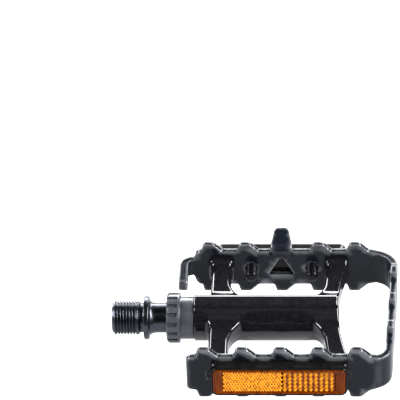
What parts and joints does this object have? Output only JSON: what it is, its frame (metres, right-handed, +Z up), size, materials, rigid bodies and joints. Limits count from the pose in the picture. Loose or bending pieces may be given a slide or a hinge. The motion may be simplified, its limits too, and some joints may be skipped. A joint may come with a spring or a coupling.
{
  "type": "platform pedal",
  "caption": "Platform bicycle pedal with a toothed metal cage, cast body, splined bearing collar, threaded spindle and amber reflectors.",
  "frame": {"origin": "on the spindle axis, in the shoulder face that seats against the crank arm", "axes": "+X along the spindle away from the crank, +Y to the plate with the flip tab, +Z up"},
  "size_m": [0.1207, 0.0863, 0.027],
  "materials": {
    "body_casting": "gloss black coated casting",
    "cage_strip": "satin dark slate, brighter at the cut edges",
    "spindle_steel": "dark glossy forged and machined steel",
    "bearing_steel": "ground bright steel",
    "zinc_hardware": "zinc plated",
    "collar_plastic": "satin dark grey moulded",
    "seal_rubber": "matt black rubber",
    "screw_black": "black oxide",
    "reflector_housing": "black moulded, semi gloss",
    "reflector_lens": "clear amber with a prism grid"
  },
  "bodies": {
    "axle": {"spindle": "spindle_steel", "outboard_cone": "bearing_steel", "keyed_washer": "zinc_hardware", "lock_nut": "zinc_hardware"},
    "pedal": {"pedal_body": "body_casting", "cage": "cage_strip", "cage_screws": "screw_black", "lock_collar": "collar_plastic", "seal_ring": "seal_rubber", "bearing_sleeve": "bearing_steel", "inboard_cup": "bearing_steel", "outboard_cup": "bearing_steel", "front_reflector_housing": "reflector_housing", "front_reflector_lens": "reflector_lens", "front_reflector_screws": "screw_black", "rear_reflector_housing": "reflector_housing", "rear_reflector_lens": "reflector_lens", "rear_reflector_screws": "screw_black"},
    "inboard_ball_row": {"inboard_balls": "bearing_steel"},
    "outboard_ball_row": {"outboard_balls": "bearing_steel"}
  },
  "joints": [
    {"name": "pedal_spin", "type": "hinge", "parent": "axle", "child": "pedal", "pos_m": [0.05, 0, 0], "axis": [1, 0, 0], "continuous": true},
    {"name": "inboard_row_spin", "type": "hinge", "parent": "axle", "child": "inboard_ball_row", "pos_m": [0.0312, 0, 0], "axis": [1, 0, 0], "continuous": true},
    {"name": "outboard_row_spin", "type": "hinge", "parent": "axle", "child": "outboard_ball_row", "pos_m": [0.068, 0, 0], "axis": [1, 0, 0], "continuous": true}
  ],
  "couplings": [
    {"joint": "inboard_row_spin", "follows": "pedal_spin", "ratio": 0.584},
    {"joint": "outboard_row_spin", "follows": "pedal_spin", "ratio": 0.584}
  ]
}
